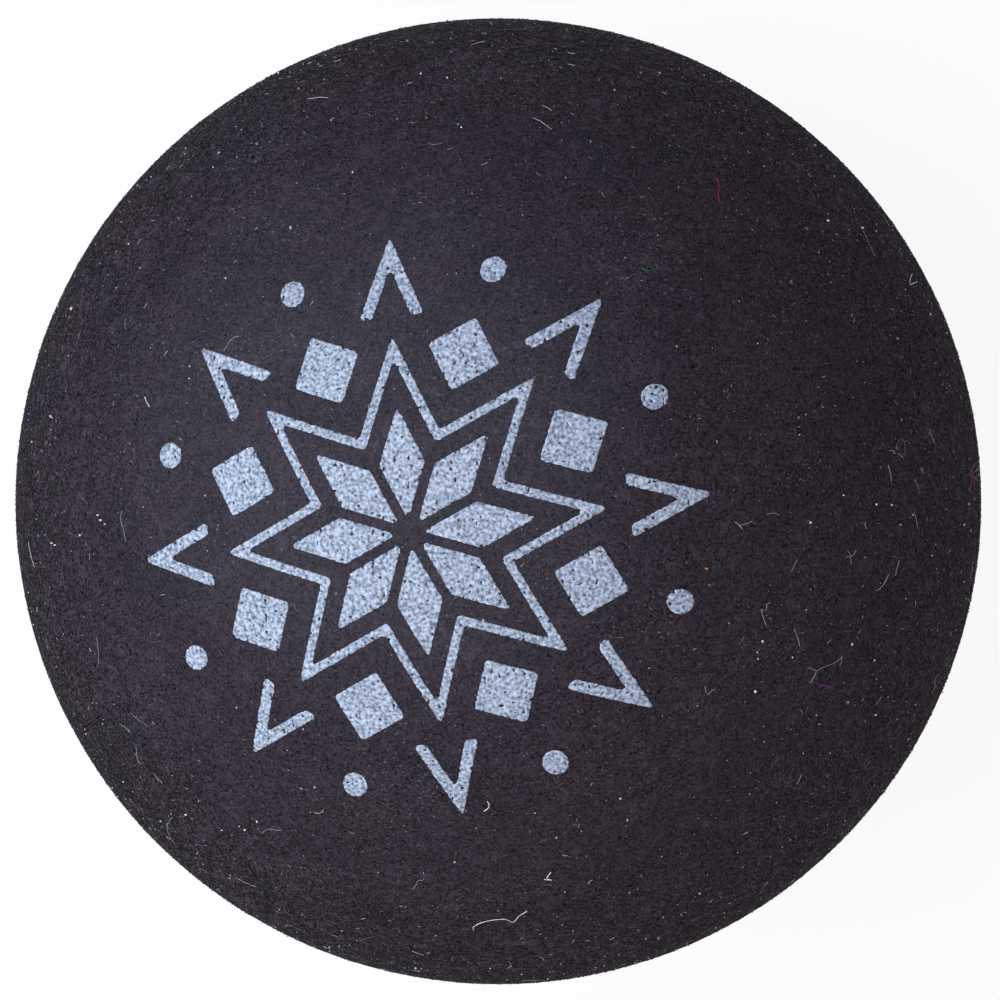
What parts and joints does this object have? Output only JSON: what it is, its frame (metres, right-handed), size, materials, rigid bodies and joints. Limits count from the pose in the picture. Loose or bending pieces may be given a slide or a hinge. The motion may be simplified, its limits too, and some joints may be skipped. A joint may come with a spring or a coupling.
{
  "type": "squash ball",
  "caption": "Hollow black rubber squash ball made of two half shells cemented edge to edge, with a plain geometric mark in pale ink.",
  "frame": {"origin": "centre of the ball, in the plane of the seam", "axes": "+Z along the polar axis of the two half shells, from the plain pole to the printed pole; the seam lies in the XY plane"},
  "size_m": [0.04, 0.04, 0.04],
  "materials": {
    "buffed_rubber": "buffed matt",
    "cured_cement": "satin",
    "printing_ink": "matt ink film"
  },
  "bodies": {
    "root": {"upper_half_shell": "buffed_rubber", "lower_half_shell": "buffed_rubber", "seam_cement": "cured_cement", "printed_star": "printing_ink", "printed_zigzag": "printing_ink", "printed_diamonds": "printing_ink", "printed_chevrons": "printing_ink", "printed_dots": "printing_ink"}
  },
  "joints": []
}
